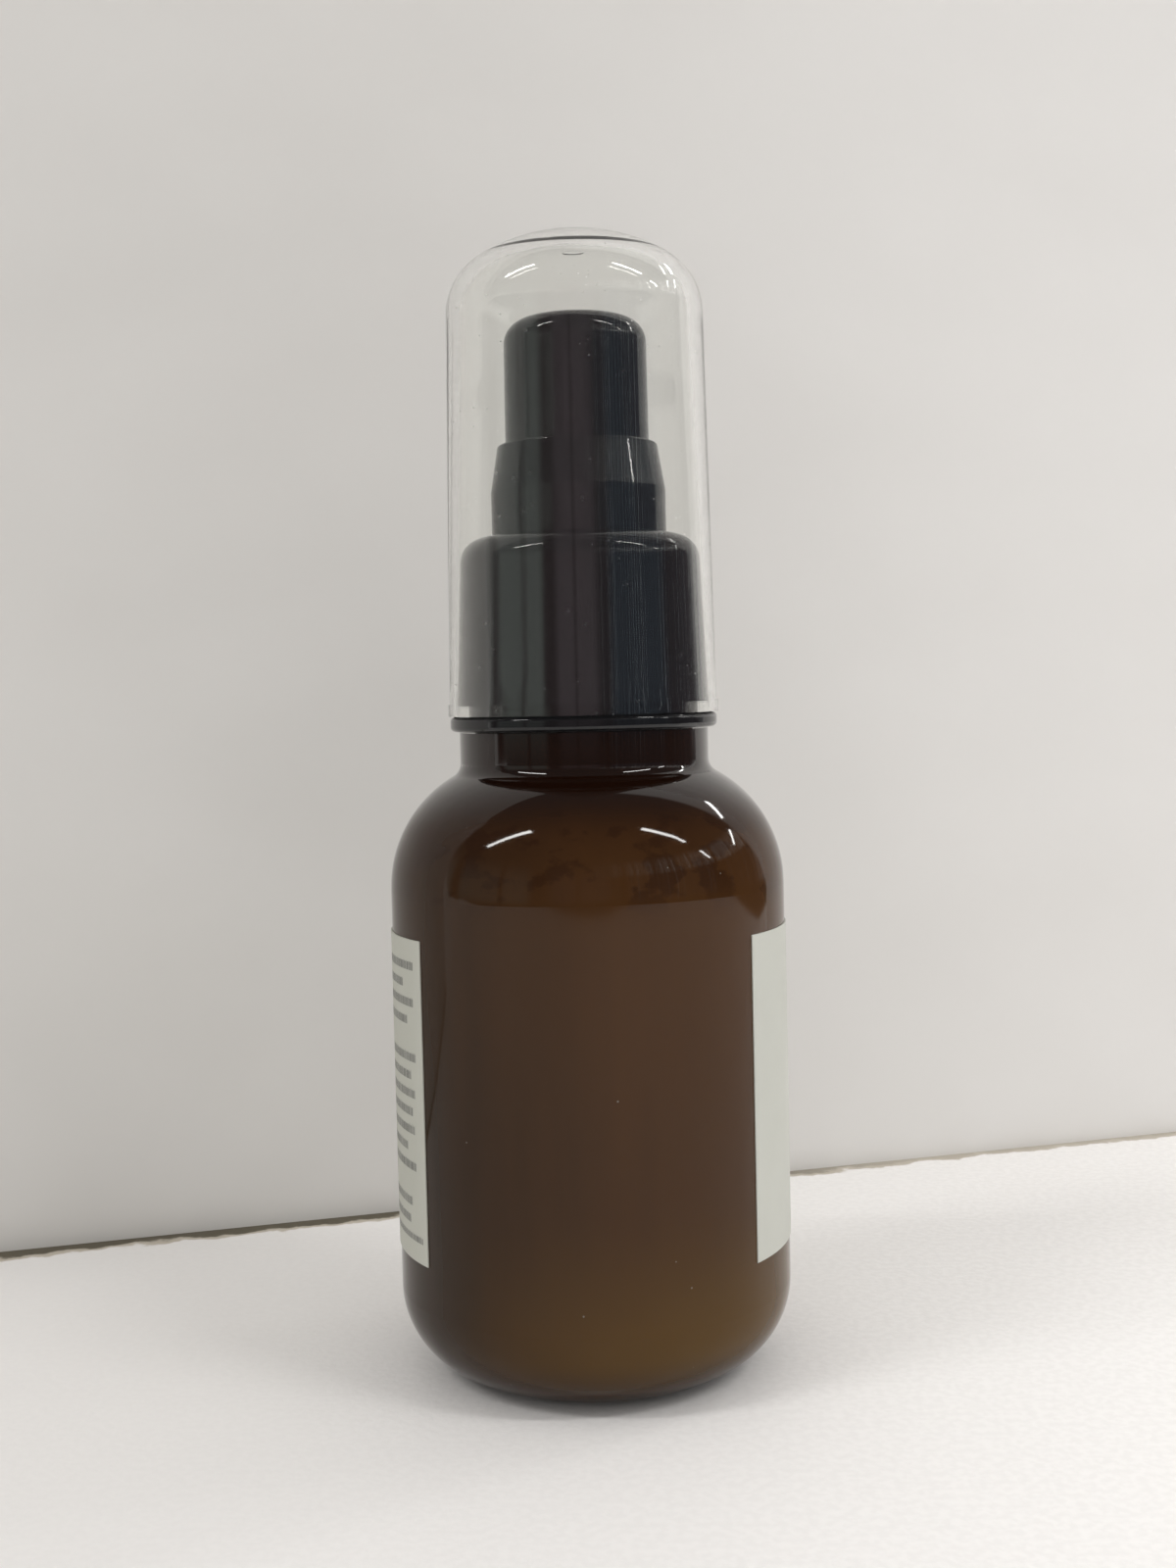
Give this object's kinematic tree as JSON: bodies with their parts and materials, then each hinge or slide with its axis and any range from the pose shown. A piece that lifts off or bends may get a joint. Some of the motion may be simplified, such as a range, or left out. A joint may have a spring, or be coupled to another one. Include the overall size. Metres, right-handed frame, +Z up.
{
  "type": "pump bottle",
  "caption": "Round dark amber bottle with a wrap label, a black screw-on lotion pump that is pressed to dose oil, and a clear domed overcap.",
  "frame": {"origin": "centre of the bottle's base, on the surface it stands on", "axes": "+Z up along the bottle's axis; the spout and the middle of the label face -Y, and the label's gap faces +Y"},
  "size_m": [0.0402, 0.0401, 0.1146],
  "materials": {
    "amber_plastic": "deep amber brown, glossy, nearly opaque",
    "label_paper": null,
    "oil": "cloudy oil, modelled as a solid",
    "gasket_foam": "soft white foam washer",
    "natural_plastic": "uncoloured polypropylene",
    "seal_rubber": "dark soft seal",
    "tube_plastic": "translucent polyethylene tube",
    "steel": "bright stainless steel",
    "white_plastic": "white acetal and polyethylene",
    "black_inner": "black polypropylene, satin",
    "black_plastic": "polished black plastic",
    "clear_plastic": "clear moulded plastic"
  },
  "bodies": {
    "bottle": {"bottle": "amber_plastic", "label": "label_paper", "oil_fill": "oil"},
    "gasket": {"neck_gasket": "gasket_foam"},
    "pump": {"pump_housing": "natural_plastic", "stem_guide": "natural_plastic", "stem_seal": "seal_rubber", "guide_collar": "black_plastic", "dip_tube": "tube_plastic"},
    "inlet_ball": {"inlet_ball": "steel"},
    "plunger": {"stem": "white_plastic", "piston_rod": "white_plastic", "main_spring": "steel"},
    "piston": {"piston": "white_plastic"},
    "head": {"actuator_core": "black_inner", "actuator_shell": "black_plastic", "nozzle_tip": "black_plastic"},
    "closure": {"closure_insert": "black_inner", "closure_shell": "black_plastic"},
    "overcap": {"overcap": "clear_plastic"}
  },
  "joints": [
    {"name": "pump_lift", "type": "slide", "parent": "bottle", "child": "gasket", "axis": [0, 0, 1], "range_m": [0, 0.08]},
    {"name": "thread_rise", "type": "slide", "parent": "gasket", "child": "pump", "axis": [0, 0, 1], "range_m": [0, 0.0048]},
    {"name": "closure_turn", "type": "hinge", "parent": "pump", "child": "closure", "pos_m": [0, 0, 0.0742], "axis": [0, 0, 1], "range_deg": [0, 540]},
    {"name": "overcap_lift", "type": "slide", "parent": "closure", "child": "overcap", "axis": [0, 0, 1], "range_m": [0, 0.045]},
    {"name": "actuator_press", "type": "slide", "parent": "pump", "child": "plunger", "axis": [0, 0, -1], "range_m": [0, 0.005], "stiffness_N_per_m": 600, "springref_m": -0.004, "deforming": ["main_spring"]},
    {"name": "piston_slip", "type": "slide", "parent": "plunger", "child": "piston", "axis": [0, 0, 1], "range_m": [0, 0.0008]},
    {"name": "actuator_turn", "type": "hinge", "parent": "plunger", "child": "head", "pos_m": [0, 0, 0.0965], "axis": [0, 0, 1], "continuous": true},
    {"name": "ball_lift", "type": "slide", "parent": "pump", "child": "inlet_ball", "axis": [0, 0, 1], "range_m": [0, 0.001]}
  ],
  "couplings": [
    {"joint": "thread_rise", "follows": "closure_turn", "m_per_rad": 0.00050532},
    {"joint": "piston_slip", "follows": "actuator_press", "ratio": 0.16}
  ]
}
